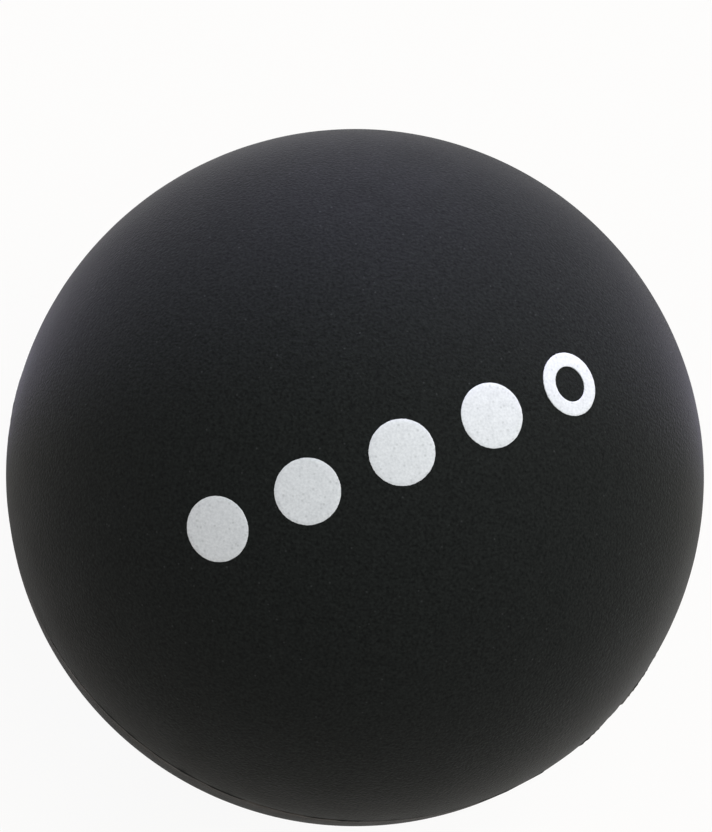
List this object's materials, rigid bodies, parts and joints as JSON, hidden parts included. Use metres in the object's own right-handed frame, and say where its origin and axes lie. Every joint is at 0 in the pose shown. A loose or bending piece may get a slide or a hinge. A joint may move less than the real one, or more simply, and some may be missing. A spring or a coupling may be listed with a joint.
{
  "type": "lacrosse ball",
  "caption": "Solid black rubber lacrosse ball with a fine moulding ridge round its middle and a printed row of white firmness marks.",
  "frame": {"origin": "middle of the ball", "axes": "+Z along the mould axis, square to the parting ridge, which lies in the XY plane; the printed row leans from +Z towards -Y, the front"},
  "size_m": [0.0632, 0.0632, 0.063],
  "materials": {
    "rubber": "matt moulded black rubber with a fine grain",
    "ink": "printed white ink, matt, with fine pinholes"
  },
  "bodies": {
    "root": {"ball": "rubber", "firmness_mark_1": "ink", "firmness_mark_2": "ink", "firmness_mark_3": "ink", "firmness_mark_4": "ink", "firmness_mark_5": "ink"}
  },
  "joints": []
}
